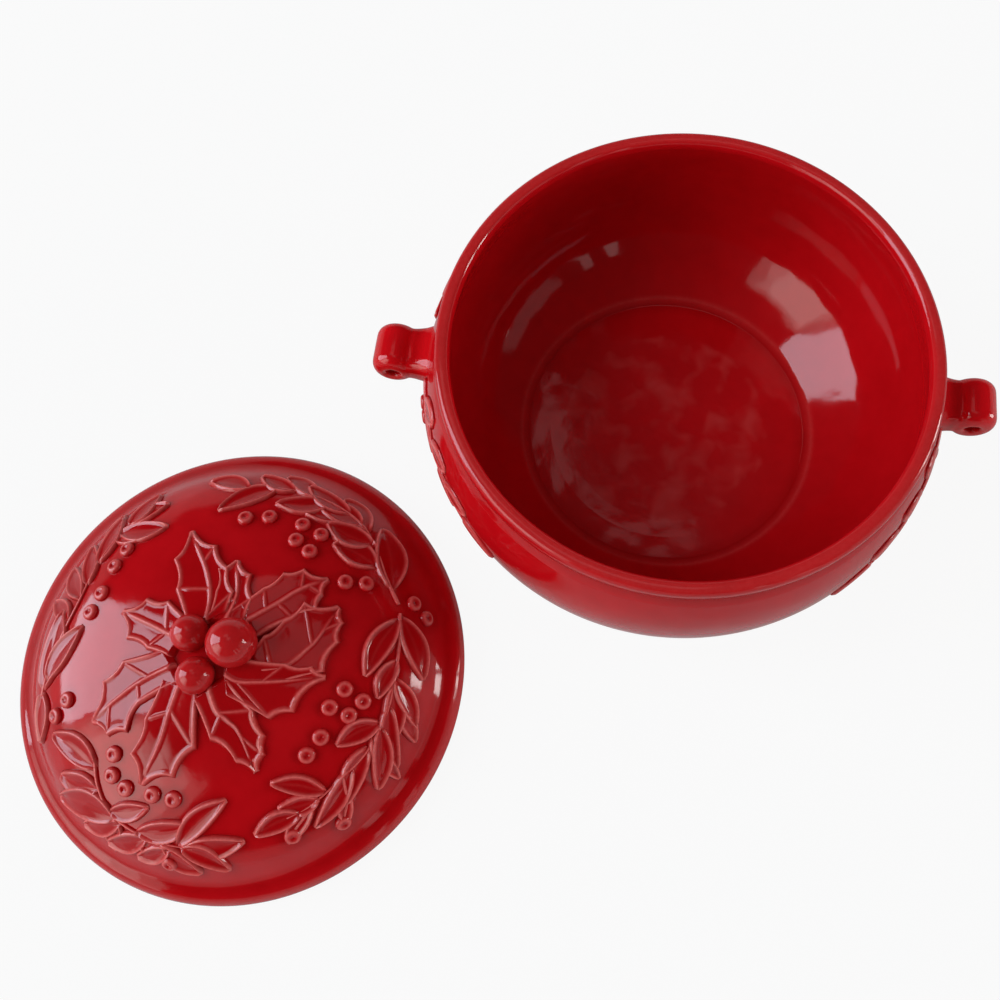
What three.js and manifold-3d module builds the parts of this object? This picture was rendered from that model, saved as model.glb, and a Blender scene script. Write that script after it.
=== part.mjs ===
// A small glazed tureen: a round-bellied bowl with two rolled loop handles, and its domed lid lying
// beside it. Sprigs of holly in low relief sit on the belly and on the dome, and three berries
// make the lid's knob. Millimetres, +Z up, origin on the table under the middle of the bowl,
// +X through the handles.
import * as THREE from 'three';
import { mergeVertices } from 'three/addons/utils/BufferGeometryUtils.js';
import Module from 'manifold-3d';

const wasm = await Module();
wasm.setup();

// Bowl
const RIM_DIAMETER = 160;
const LIP_THICKNESS = 5;
const BOWL_HEIGHT = 76;
const COLLAR_HEIGHT = 7;
const COLLAR_STEP = 1.2;
const SHOULDER_HEIGHT = 25.5;
const BELLY_DIAMETER = 173.2;
const WALL = 5;
const FOOT_DIAMETER = 100;
const FOOT_HEIGHT = 3;
const FOOT_RING_WIDTH = 6;
const FLOOR_THICKNESS = 5;
const WELL_DIAMETER = 108;
const WELL_STEP = 1.2;

// Loop handles: a roll with a hole through it, on a neck from the shoulder
const HANDLE_DROP = 18.5;
const HANDLE_REACH = 18.4;
const HANDLE_WIDTH = 17.2;
const ROLL_DIAMETER = 15;
const ROLL_WALL = 4;
const NECK_HEIGHT = 9;
const HANDLE_ROUNDING = 1.5;

// Lid, and where it lies: its gap from the belly and its bearing from the bowl
const BEAD_WIDTH = 3.5;
const BEAD_HEIGHT = 5;
const COVE_WIDTH = 4;
const COVE_DEPTH = 0.6;
const DOME_HEIGHT = 27;
const LID_WALL = 5;
const FLANGE_HEIGHT = 6;
const FLANGE_THICKNESS = 4;
const FLANGE_CLEARANCE = 1.2;
const SEAT_ROUNDING = 1.5;
const LID_GAP = 12.8;
const LID_BEARING = 217;

// Relief
const RELIEF_GAP = 0.3;
const HOLLY_THICKNESS = 2.4;
const HOLLY_EDGE = 1.1;
const SPRIG_THICKNESS = 1.5;
const SPRIG_EDGE = 0.8;
const BELLY_SPRIG_THICKNESS = 2.2;
const BELLY_SPRIG_EDGE = 1.2;
const STEM_WIDTH = 1.8;
const BERRY_RADIUS = 2.7;
const BERRY_SINK = 1.0;
const KNOB_BERRY_RADIUS = 8.2;
const SIDE_BERRY_RADIUS = 6.6;
const KNOB_BERRY_SINK = 3.6;

// Facets round a turned piece and along an arc
const ROUND = 40;
const ARC_STEPS = 7;

const rimRadius = RIM_DIAMETER / 2;
const mouthRadius = rimRadius - LIP_THICKNESS;
const bellyRadius = BELLY_DIAMETER / 2;
const footRadius = FOOT_DIAMETER / 2;
const wellRadius = WELL_DIAMETER / 2;
const floorLevel = FOOT_HEIGHT + FLOOR_THICKNESS;
const creaseLevel = BOWL_HEIGHT - COLLAR_HEIGHT;
const creaseRadius = rimRadius - COLLAR_STEP;
const bellyLevel = creaseLevel - SHOULDER_HEIGHT;
const handleLevel = creaseLevel - HANDLE_DROP;
const lidRadius = rimRadius;
const domeRadius = lidRadius - BEAD_WIDTH - COVE_WIDTH;
const flangeRadius = mouthRadius - FLANGE_CLEARANCE;
const flangeInner = flangeRadius - FLANGE_THICKNESS;
const brimTop = FLANGE_HEIGHT + BEAD_HEIGHT;

const paint = (colour) => new THREE.MeshStandardMaterial({ color: colour, roughness: 0.12, metalness: 0 });
const GLAZE = 0xa8161c;
const RELIEF_GLAZE = 0xb0242a;

// Points along an ellipse between two angles, as a profile.
function ellipseArc(cx, cz, rx, rz, from, to, steps = ARC_STEPS) {
  const points = [];
  for (let i = 0; i <= steps; i += 1) {
    const a = from + ((to - from) * i) / steps;
    points.push(new THREE.Vector2(cx + rx * Math.cos(a), cz + rz * Math.sin(a)));
  }
  return points;
}

// The shoulder is the part of an ellipse that leaves the belly upright and meets a neck at (r, z).
const SHOULDER_FULLNESS = 1.55;
function shoulder(widest, r, z) {
  const rx = SHOULDER_FULLNESS * (widest - r);
  const end = Math.acos(1 - 1 / SHOULDER_FULLNESS);
  const rz = (z - bellyLevel) / Math.sin(end);
  return { cx: widest - rx, rx, rz, end };
}

const outerShoulder = shoulder(bellyRadius, creaseRadius, creaseLevel);
const innerShoulder = shoulder(bellyRadius - WALL, mouthRadius, creaseLevel);

// Outside radius of the bowl at a height between the foot and the crease under the collar.
function bellyAt(z) {
  if (z >= bellyLevel) {
    const s = Math.min(1, (z - bellyLevel) / outerShoulder.rz);
    return outerShoulder.cx + outerShoulder.rx * Math.sqrt(1 - s * s);
  }
  const s = Math.min(1, (bellyLevel - z) / (bellyLevel - FOOT_HEIGHT));
  return footRadius + (bellyRadius - footRadius) * Math.sqrt(1 - s * s);
}

// The dome is a superellipse: full at its foot and flat on top.
const DOME_POWER = 2.4;
const DOME_ROUNDING = 0.62;
function domeCurve(r, radius, height) {
  const t = Math.min(1, r / radius);
  return height * (1 - t ** DOME_POWER) ** DOME_ROUNDING;
}
const domeAt = (r) => brimTop + domeCurve(r, domeRadius, DOME_HEIGHT);

// Makes a closed geometry face outwards.
function outward(geometry) {
  const p = geometry.getAttribute('position');
  const index = geometry.index.array;
  const corners = [new THREE.Vector3(), new THREE.Vector3(), new THREE.Vector3()];
  let volume = 0;
  for (let i = 0; i < index.length; i += 3) {
    corners.forEach((corner, k) => corner.fromBufferAttribute(p, index[i + k]));
    volume += corners[0].dot(corners[1].clone().cross(corners[2]));
  }
  if (volume < 0) {
    for (let i = 0; i < index.length; i += 3) {
      const swap = index[i];
      index[i] = index[i + 1];
      index[i + 1] = swap;
    }
  }
  geometry.computeVertexNormals();
  return geometry;
}

// Keeps only positions, with shared corners merged and empty triangles left out.
function welded(geometry) {
  const position = geometry.getAttribute('position').clone();
  const bare = new THREE.BufferGeometry();
  bare.setAttribute('position', position);
  const corners = geometry.index ? geometry.index.array : Array.from({ length: position.count }, (_, i) => i);
  bare.setIndex([...corners]);
  const merged = mergeVertices(bare, 1e-4);
  const source = merged.index.array;
  const kept = [];
  for (let i = 0; i < source.length; i += 3) {
    const [a, b, c] = [source[i], source[i + 1], source[i + 2]];
    if (a !== b && b !== c && c !== a) {
      kept.push(a, b, c);
    }
  }
  merged.setIndex(kept);
  return outward(merged);
}

// A solid of revolution about Z from a profile of (radius, height) points.
function turned(points, segments = ROUND) {
  const geometry = new THREE.LatheGeometry(points, segments);
  geometry.rotateX(Math.PI / 2);
  return welded(geometry);
}

function toSolid(geometry) {
  const g = welded(geometry);
  return new wasm.Manifold(new wasm.Mesh({
    numProp: 3,
    vertProperties: new Float32Array(g.getAttribute('position').array),
    triVerts: new Uint32Array(g.index.array),
  }));
}

function toGeometry(solid) {
  const mesh = solid.getMesh();
  const geometry = new THREE.BufferGeometry();
  geometry.setAttribute('position', new THREE.BufferAttribute(new Float32Array(mesh.vertProperties), 3));
  geometry.setIndex([...mesh.triVerts]);
  geometry.computeVertexNormals();
  return geometry;
}

const without = (solid, cutters) => cutters.reduce((rest, cutter) => rest.subtract(cutter), solid);

// Joins rings of equal length into one closed body, with a fan over each end.
function lofted(rings) {
  const size = rings[0].length;
  const positions = [];
  const index = [];
  rings.forEach((ring) => ring.forEach((v) => positions.push(v.x, v.y, v.z)));
  for (let i = 0; i + 1 < rings.length; i += 1) {
    for (let k = 0; k < size; k += 1) {
      const a = i * size + k;
      const b = i * size + ((k + 1) % size);
      index.push(a, b, a + size, b, b + size, a + size);
    }
  }
  const last = (rings.length - 1) * size;
  for (let k = 1; k + 1 < size; k += 1) {
    index.push(0, k + 1, k);
    index.push(last, last + k, last + k + 1);
  }
  const geometry = new THREE.BufferGeometry();
  geometry.setAttribute('position', new THREE.Float32BufferAttribute(positions, 3));
  geometry.setIndex(index);
  return outward(geometry);
}

function piece(name, geometry, colour) {
  const mesh = new THREE.Mesh(geometry, paint(colour));
  mesh.name = name;
  return mesh;
}

// Surfaces that carry relief: a place (u, v) on a flat drawing and a height h above it become a point.
const SLOPE_STEP = 0.05;

// The dome's drawing is seen from above, in hundredths of the dome's radius.
const domeSurface = {
  unit: domeRadius / 100,
  at(u, v, h) {
    const x = u * this.unit;
    const y = v * this.unit;
    const r = Math.max(Math.hypot(x, y), SLOPE_STEP);
    const slope = (domeAt(r + SLOPE_STEP) - domeAt(r - SLOPE_STEP)) / (2 * SLOPE_STEP);
    const normal = new THREE.Vector3((-slope * x) / r, (-slope * y) / r, 1).normalize();
    return new THREE.Vector3(x, y, domeAt(r)).addScaledVector(normal, h);
  },
};

// The belly's drawing is in hundredths of the shoulder's height: u runs round the belly from a
// handle, v up from the widest line.
function bellySurface(handleAngle, direction) {
  return {
    unit: SHOULDER_HEIGHT / 100,
    at(u, v, h) {
      const angle = handleAngle + (direction * u * this.unit) / bellyRadius;
      const z = bellyLevel + v * this.unit;
      const slope = (bellyAt(z + SLOPE_STEP) - bellyAt(z - SLOPE_STEP)) / (2 * SLOPE_STEP);
      const lean = Math.hypot(1, slope);
      const r = bellyAt(z) + h / lean;
      return new THREE.Vector3(r * Math.cos(angle), r * Math.sin(angle), z - (slope * h) / lean);
    },
  };
}

// Leaf outlines: place along the midrib, half-width as a share of the widest, forward sweep.
const HOLLY_OUTLINE = [
  [0, 0.1, 0], [0.1, 0.38, 0.02], [0.22, 0.95, 0.06], [0.32, 0.52, 0.03], [0.48, 1, 0.06],
  [0.58, 0.5, 0.03], [0.72, 0.74, 0.06], [0.82, 0.3, 0.02], [1, 0.05, 0],
];
const LANCE_OUTLINE = [[0, 0.15, 0], [0.3, 0.88, 0], [0.55, 1, 0], [0.8, 0.6, 0], [1, 0.06, 0]];

// One leaf lying on a surface, ridged along its midrib. Its room is the leaf with a margin all round.
function leafBody(surface, leaf, outline, thickness, edge, margin = 0) {
  const [u0, v0, u1, v1, halfWidth] = leaf;
  const length = Math.hypot(u1 - u0, v1 - v0);
  const along = [(u1 - u0) / length, (v1 - v0) / length];
  const grow = margin / surface.unit;
  const at = (s, w, h) => surface.at(
    u0 + along[0] * s * length - along[1] * w,
    v0 + along[1] * s * length + along[0] * w,
    h,
  );
  const low = RELIEF_GAP - margin;
  const rings = outline.map(([s, share, sweep]) => {
    const w = halfWidth * share + grow;
    const place = s + (grow / length) * (2 * s - 1);
    const side = edge + margin;
    const ridge = thickness * Math.min(1, 0.55 + share) + margin;
    return [
      at(place + sweep, w, low), at(place + sweep, w, side), at(place, 0, ridge),
      at(place + sweep, -w, side), at(place + sweep, -w, low), at(place, 0, low),
    ];
  });
  return lofted(rings);
}

// A stem: a low ridge along a line of points on a surface.
function stemBody(surface, line, thickness) {
  const curve = new THREE.CatmullRomCurve3(line.map(([u, v]) => new THREE.Vector3(u, v, 0)));
  const steps = 2 * (line.length - 1);
  const half = STEM_WIDTH / 2 / surface.unit;
  const rings = [];
  for (let i = 0; i <= steps; i += 1) {
    const p = curve.getPoint(i / steps);
    const t = curve.getTangent(i / steps);
    const side = (w, h) => surface.at(p.x - t.y * w, p.y + t.x * w, h);
    rings.push([side(half, RELIEF_GAP), side(0, thickness), side(-half, RELIEF_GAP)]);
  }
  return lofted(rings);
}

// A ball standing on a surface, sunk into it, from a profile about its upright.
function standing(surface, u, v, points, sides) {
  const foot = surface.at(u, v, 0);
  const up = surface.at(u, v, 1).sub(foot).normalize();
  const geometry = turned(points, sides);
  geometry.applyQuaternion(new THREE.Quaternion().setFromUnitVectors(new THREE.Vector3(0, 0, 1), up));
  geometry.translate(foot.x, foot.y, foot.z);
  return geometry;
}

const BERRY_STEPS = 8;
const KNOB_STEPS = 14;
const sidesOf = (radius) => (radius > BERRY_RADIUS ? KNOB_STEPS : BERRY_STEPS);

// A berry has its underside cut off flat where it stands.
function berryBody(surface, [u, v], radius = BERRY_RADIUS, sink = BERRY_SINK) {
  const low = Math.asin((RELIEF_GAP + sink - radius) / radius);
  const points = ellipseArc(0, radius - sink, radius, radius, low, Math.PI / 2, 4);
  points[points.length - 1].x = 0;
  return standing(surface, u, v, [new THREE.Vector2(0, RELIEF_GAP), ...points], sidesOf(radius));
}

// The room that a berry takes from what lies against it.
function berryRoom(surface, [u, v], radius = BERRY_RADIUS, sink = BERRY_SINK) {
  const full = radius + RELIEF_GAP;
  const points = ellipseArc(0, radius - sink, full, full, -Math.PI / 2, Math.PI / 2);
  points[0].x = 0;
  points[points.length - 1].x = 0;
  return toSolid(standing(surface, u, v, points, sidesOf(radius)));
}

// A sprig: stem and leaves in one, cut clear of the berries that lie against it.
function sprigBody(surface, { stem, leaves }, berryRooms, thickness, edge) {
  const whole = leaves.reduce(
    (body, leaf) => body.add(toSolid(leafBody(surface, leaf, LANCE_OUTLINE, thickness, edge))),
    toSolid(stemBody(surface, stem, thickness)),
  );
  return toGeometry(without(whole, berryRooms));
}

function bowlProfile() {
  const lip = LIP_THICKNESS / 2;
  const footInner = footRadius - FOOT_RING_WIDTH;
  const innerBelly = bellyRadius - WALL;
  const wellTop = floorLevel + WELL_STEP;
  const quarter = Math.PI / 2;
  const out = outerShoulder;
  const inn = innerShoulder;
  return [
    new THREE.Vector2(0, FOOT_HEIGHT),
    new THREE.Vector2(footInner, FOOT_HEIGHT),
    new THREE.Vector2(footInner, 0),
    new THREE.Vector2(footRadius, 0),
    ...ellipseArc(footRadius, bellyLevel, bellyRadius - footRadius, bellyLevel - FOOT_HEIGHT, -quarter, 0),
    ...ellipseArc(out.cx, bellyLevel, out.rx, out.rz, 0, out.end, 5).slice(1),
    new THREE.Vector2(rimRadius, creaseLevel + COLLAR_STEP),
    ...ellipseArc(rimRadius - lip, BOWL_HEIGHT - lip, lip, lip, 0, Math.PI, 6),
    ...ellipseArc(inn.cx, bellyLevel, inn.rx, inn.rz, inn.end, 0, 4),
    ...ellipseArc(wellRadius, bellyLevel, innerBelly - wellRadius, bellyLevel - wellTop, 0, -quarter)
      .slice(1),
    new THREE.Vector2(wellRadius - WELL_STEP, floorLevel),
    new THREE.Vector2(0, floorLevel),
  ];
}

// A handle seen along the belly: a roll at the end of a neck, with a hole through it.
function handleShape() {
  const roll = ROLL_DIAMETER / 2 - HANDLE_ROUNDING;
  const hole = ROLL_DIAMETER / 2 - ROLL_WALL + HANDLE_ROUNDING;
  const middle = HANDLE_REACH - ROLL_DIAMETER / 2;
  const neck = NECK_HEIGHT / 2 - HANDLE_ROUNDING;
  const join = Math.asin(Math.min(0.95, neck / roll));
  const shape = new THREE.Shape();
  shape.moveTo(-WALL / 2, -neck);
  shape.absarc(middle, 0, roll, Math.PI + join, 3 * Math.PI - join, false);
  shape.lineTo(-WALL / 2, neck);
  shape.closePath();
  const bore = new THREE.Path();
  bore.absarc(middle, 0, hole, 0, 2 * Math.PI, true);
  shape.holes.push(bore);
  return shape;
}

function handleBody() {
  const geometry = new THREE.ExtrudeGeometry(handleShape(), {
    depth: HANDLE_WIDTH - 2 * HANDLE_ROUNDING,
    bevelThickness: HANDLE_ROUNDING,
    bevelSize: HANDLE_ROUNDING,
    bevelSegments: 2,
    curveSegments: 8,
  });
  geometry.translate(0, 0, HANDLE_ROUNDING - HANDLE_WIDTH / 2);
  geometry.rotateX(Math.PI / 2);
  geometry.translate(bellyAt(handleLevel), 0, handleLevel);
  return geometry;
}

// The outside of the bowl, a gap larger: what a handle's neck is cut to.
function bowlRoom() {
  const side = [];
  const steps = 2 * ARC_STEPS;
  for (let i = 0; i <= steps; i += 1) {
    const z = FOOT_HEIGHT + ((creaseLevel - FOOT_HEIGHT) * i) / steps;
    side.push(new THREE.Vector2(bellyAt(z) + RELIEF_GAP, z));
  }
  const axis = (z) => new THREE.Vector2(0, z);
  return toSolid(turned([axis(FOOT_HEIGHT), ...side, axis(creaseLevel)]));
}

// A belly sprig droops away from its handle: stem line, leaves (foot, tip, half-width), berries.
const BELLY_SPRIG = {
  stem: [[47, 53], [110, 43], [176, 27.5], [243, 6]],
  leaves: [
    [78, 48, 122, 69, 11.8], [133, 37.5, 184, 55, 11], [188, 24, 243, 36.5, 11],
    [98, 45.5, 137, 10, 12.5], [165, 30.5, 212, -6, 12.5], [235, 8.6, 298, -10, 11.8],
  ],
  berries: [[68, 23], [84, 13]],
};

function buildBowl() {
  const group = new THREE.Group();
  group.add(piece('bowl_body', turned(bowlProfile()), GLAZE));
  const handle = toGeometry(toSolid(handleBody()).subtract(bowlRoom()));
  [['right', 0, -1], ['left', Math.PI, 1]].forEach(([side, angle, frontward]) => {
    const loop = piece(`handle_${side}`, handle.clone(), GLAZE);
    loop.rotation.z = angle;
    group.add(loop);
    [['front', frontward], ['back', -frontward]].forEach(([end, direction]) => {
      const surface = bellySurface(angle, direction);
      const rooms = BELLY_SPRIG.berries.map((place) => berryRoom(surface, place));
      const [first, second] = BELLY_SPRIG.berries.map((place) => toSolid(berryBody(surface, place)));
      const sprig = sprigBody(surface, BELLY_SPRIG, rooms, BELLY_SPRIG_THICKNESS, BELLY_SPRIG_EDGE);
      group.add(piece(`belly_sprig_${end}_${side}`, sprig, RELIEF_GLAZE));
      group.add(piece(`belly_berries_${end}_${side}`, toGeometry(first.add(second)), RELIEF_GLAZE));
    });
  });
  return group;
}

function lidProfile() {
  const bead = BEAD_HEIGHT / 2;
  const crown = brimTop + DOME_HEIGHT - LID_WALL;
  const steps = ARC_STEPS + 2;
  const inside = [new THREE.Vector2(0, crown)];
  const dome = [];
  for (let i = 0; i < steps; i += 1) {
    const share = Math.cos(((Math.PI / 2) * i) / steps);
    dome.push(new THREE.Vector2(domeRadius * share, domeAt(domeRadius * share)));
    const r = flangeInner * share;
    inside.splice(1, 0, new THREE.Vector2(r, domeCurve(r, flangeInner, crown)));
  }
  return [
    ...inside,
    new THREE.Vector2(flangeRadius, 0),
    new THREE.Vector2(flangeRadius, FLANGE_HEIGHT),
    new THREE.Vector2(lidRadius - SEAT_ROUNDING, FLANGE_HEIGHT),
    ...ellipseArc(lidRadius - bead, FLANGE_HEIGHT + bead, bead, bead, -Math.PI / 6, Math.PI / 2, 5),
    new THREE.Vector2(lidRadius - BEAD_WIDTH, brimTop - COVE_DEPTH),
    new THREE.Vector2(domeRadius + COVE_WIDTH / 3, brimTop - COVE_DEPTH),
    ...dome,
    new THREE.Vector2(0, brimTop + DOME_HEIGHT),
  ];
}

// Knob berries, the large one first
const KNOB_BERRIES = [
  ['knob_berry_large', [10.5, 5], KNOB_BERRY_RADIUS],
  ['knob_berry_upper', [-11.6, 8.3], SIDE_BERRY_RADIUS],
  ['knob_berry_lower', [-3.9, -11.3], SIDE_BERRY_RADIUS],
];

// Holly leaves round the knob, top leaf first: foot, tip and half-width
const HOLLY_LEAVES = [
  [19.3, -4.1, 49.7, 30.3, 11.7], [11, -9.7, 52.4, -4.1, 12.4], [4.1, -19.3, 30.3, -48.3, 11],
  [-9.7, -20.7, -22.1, -59.3, 12.4], [-19.3, -8.3, -52.4, -34.5, 11], [-17.9, 6.9, -49.7, 11, 9.7],
  [-8.3, 19.3, -26.2, 56.6, 9.7], [16.6, 20.7, 44.1, 41.4, 9], [4.1, 20.7, -6.9, 48.3, 7.6],
];

// Wreath sprigs: stem line, leaves (foot, tip, half-width) and berries
const WREATH = {
  upper: {
    stem: [
      [77.2, 34.5], [69, 46.9], [62.1, 59.3], [52.4, 71.7], [38.6, 80], [22.1, 84.8], [5.5, 85.5],
      [-6.9, 83.4],
    ],
    leaves: [
      [64.1, 51, 42.1, 59.3, 5], [60, 62.1, 36.6, 69.7, 4.4], [52.4, 71.7, 29, 78.9, 4.4],
      [35.9, 80.7, 9.7, 76.6, 4.4], [8.3, 85.5, -16.6, 69, 4.7], [45.5, 77.2, 20.7, 90.3, 3.9],
      [73.1, 41.4, 60.7, 73.1, 5], [16.6, 85.5, -4.1, 92.4, 3.6], [-5.5, 83.9, -29, 86.2, 4.1],
    ],
    berries: [
      [-1.4, 66.2], [9.7, 68.3], [26.2, 66.5], [35.9, 62.6], [25.5, 57.9], [33.1, 53.1], [52.4, 40.7],
      [61.5, 41.7],
    ],
  },
  right: {
    stem: [
      [78.6, 30.3], [80.7, 16.6], [81.4, 0], [80, -16.6], [74.5, -33.1], [64.8, -46.9], [53.8, -59.3],
      [44.1, -66.2],
    ],
    leaves: [
      [78.6, 27.6, 69, -1.4, 4.7], [79.3, 29, 93.1, 1.4, 4.4], [81.1, 8.3, 75.6, -10.3, 3.4],
      [81.4, -2.8, 82.8, -30.3, 3.9], [80.7, -12.4, 86.9, -39.3, 3.3], [81.4, 0, 92.4, -20, 3.3],
      [78.3, -20.7, 61.4, -33.1, 4.1], [78.6, -22.1, 80, -49.7, 3.6], [74.5, -31.7, 67.6, -57.9, 3.9],
      [69, -41.4, 55.9, -69, 3.3], [59.3, -53.1, 35.9, -52.4, 3.6], [56.6, -56.6, 40, -62.8, 3.6],
      [49.7, -63.4, 31, -75.2, 3.6],
    ],
    berries: [
      [83.4, 36.6], [89.7, 30.9], [61.4, -8.3], [69.8, -12.4], [56.3, -17.1], [64.8, -19.3], [54.5, -30.3],
      [49.7, -38.6], [66.9, -65.5], [46.9, -73.4],
    ],
  },
  lower: {
    stem: [[-45.5, -51], [-42.8, -62.1], [-35.9, -73.1], [-24.8, -79.3], [-11, -83], [4.1, -84.1]],
    leaves: [
      [-44.1, -55.2, -71.7, -42.8, 5.2], [-42.1, -64.1, -64.8, -60, 4.7], [-33.1, -75.9, -67.6, -69.7, 5.8],
      [-16.6, -82.1, -38.6, -86.2, 3.9], [-22.1, -80, 4.1, -73.8, 4.1], [-2.8, -83.4, 17.9, -61.4, 4.1],
      [0, -84.1, 26.9, -77.9, 4.1], [-1.4, -84.1, 20.7, -91, 3.6], [-35.9, -73.1, -16.6, -68.7, 3.6],
    ],
    berries: [[-35.9, -48.3], [-35.6, -57.4], [-28.4, -62.1], [-15.2, -63.2], [-5.5, -64], [-6.9, -91.7]],
  },
  left: {
    stem: [
      [-82.8, -27.6], [-80.7, -11], [-76.6, 5.5], [-73.1, 19.3], [-71, 33.1], [-67.6, 46.9], [-60.7, 59.3],
    ],
    leaves: [
      [-82.8, -24.8, -89, 12.4, 6.1], [-80.7, -13.8, -70.3, 5.5, 3.9], [-64.8, 53.8, -38.6, 58.6, 4.7],
      [-62.1, 57.9, -44.1, 71.7, 3.9], [-70.3, 37.2, -69, 64.1, 4.1], [-73.1, 19.3, -86.9, 35.9, 4.4],
      [-62.1, 57.9, -53.1, 77.9, 4.1], [-82.8, -24.8, -80, -48.3, 3.9],
    ],
    berries: [[-55.9, 44.8], [-59.3, 35.9], [-61.4, 22.3], [-64.3, 13], [-65.5, -27.6], [-71, -35.2]],
  },
};

function buildLid() {
  const group = new THREE.Group();
  const bearing = THREE.MathUtils.degToRad(LID_BEARING);
  const reach = bellyRadius + LID_GAP + lidRadius;
  group.position.set(reach * Math.cos(bearing), reach * Math.sin(bearing), 0);
  group.add(piece('lid_shell', turned(lidProfile()), GLAZE));

  const rooms = [];
  Object.entries(WREATH).forEach(([side, { berries }]) => {
    berries.forEach((place, i) => {
      const berry = without(toSolid(berryBody(domeSurface, place)), rooms);
      group.add(piece(`wreath_berry_${side}_${i + 1}`, toGeometry(berry), RELIEF_GLAZE));
      rooms.push(berryRoom(domeSurface, place));
    });
  });
  Object.entries(WREATH).forEach(([side, sprig]) => {
    const body = sprigBody(domeSurface, sprig, rooms, SPRIG_THICKNESS, SPRIG_EDGE);
    group.add(piece(`wreath_sprig_${side}`, body, RELIEF_GLAZE));
  });

  KNOB_BERRIES.forEach(([name, place, radius]) => {
    const berry = without(toSolid(berryBody(domeSurface, place, radius, KNOB_BERRY_SINK)), rooms);
    group.add(piece(name, toGeometry(berry), RELIEF_GLAZE));
    rooms.push(berryRoom(domeSurface, place, radius, KNOB_BERRY_SINK));
  });
  HOLLY_LEAVES.forEach((leaf, i) => {
    const body = toSolid(leafBody(domeSurface, leaf, HOLLY_OUTLINE, HOLLY_THICKNESS, HOLLY_EDGE));
    group.add(piece(`holly_leaf_${i + 1}`, toGeometry(without(body, rooms)), RELIEF_GLAZE));
    const room = leafBody(domeSurface, leaf, HOLLY_OUTLINE, HOLLY_THICKNESS, HOLLY_EDGE, 2 * RELIEF_GAP);
    rooms.push(toSolid(room));
  });
  return group;
}

const tureen = new THREE.Group();
tureen.add(buildBowl());
tureen.add(buildLid());

export default tureen;
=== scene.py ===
import bpy
import math
import numpy as np
from mathutils import Matrix, Vector
from mathutils.kdtree import KDTree


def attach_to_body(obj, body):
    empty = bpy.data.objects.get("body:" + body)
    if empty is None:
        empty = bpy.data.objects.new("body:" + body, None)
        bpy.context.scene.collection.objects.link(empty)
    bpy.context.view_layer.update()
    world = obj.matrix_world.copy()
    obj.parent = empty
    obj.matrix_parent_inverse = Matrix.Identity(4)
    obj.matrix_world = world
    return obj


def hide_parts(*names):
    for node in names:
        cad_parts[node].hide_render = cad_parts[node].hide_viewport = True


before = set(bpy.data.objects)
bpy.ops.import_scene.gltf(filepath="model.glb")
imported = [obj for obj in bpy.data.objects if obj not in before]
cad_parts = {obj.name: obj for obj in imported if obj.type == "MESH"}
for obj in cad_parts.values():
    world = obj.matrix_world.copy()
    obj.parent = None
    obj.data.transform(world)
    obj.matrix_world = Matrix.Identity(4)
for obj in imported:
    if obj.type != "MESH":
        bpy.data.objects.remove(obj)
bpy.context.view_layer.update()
mm = 0.001


# glaze: colours, then noises as scale, lowest and highest level, and bumps with their depth in metres
glazeLook = {
    "deep": (0.36, 0.0010, 0.0025),     # where the glaze pools in the hollows, with painted shade there too
    "full": (0.57, 0.004, 0.008),       # at its usual depth
    "thin": (0.82, 0.17, 0.155),        # drawn off the raised edges
    "cloud": (22, 0.0, 0.35),           # slow changes of depth
    "mottle": (160, 0.0, 0.18),         # quick ones
    "broken": (900, 0.55, 1.0),         # unevenness of the pale edges
    "worn": (105, 0.0, 0.16),           # pale patches on the floor of the bowl
    "rough": (60, 0.05, 0.10),
    "dulled": 0.05,                     # how much rougher that floor is
    "ripple": (68, 0.00034),
    "peel": (650, 0.00001),
    "stamp": 0.00022,
}


# a new node with its inputs set, each to a value or from a socket
def addNode(tree, kind, inputs):
    node = tree.nodes.new("ShaderNode" + kind)
    for label, value in inputs.items():
        if isinstance(value, bpy.types.NodeSocket):
            tree.links.new(value, node.inputs[label])
        else:
            node.inputs[label].default_value = value
    return node


# two values worked into one between 0 and 1
def computed(tree, kind, a, b):
    node = addNode(tree, "Math", {0: a, 1: b})
    node.operation = kind
    node.use_clamp = True
    return node.outputs["Value"]


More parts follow.
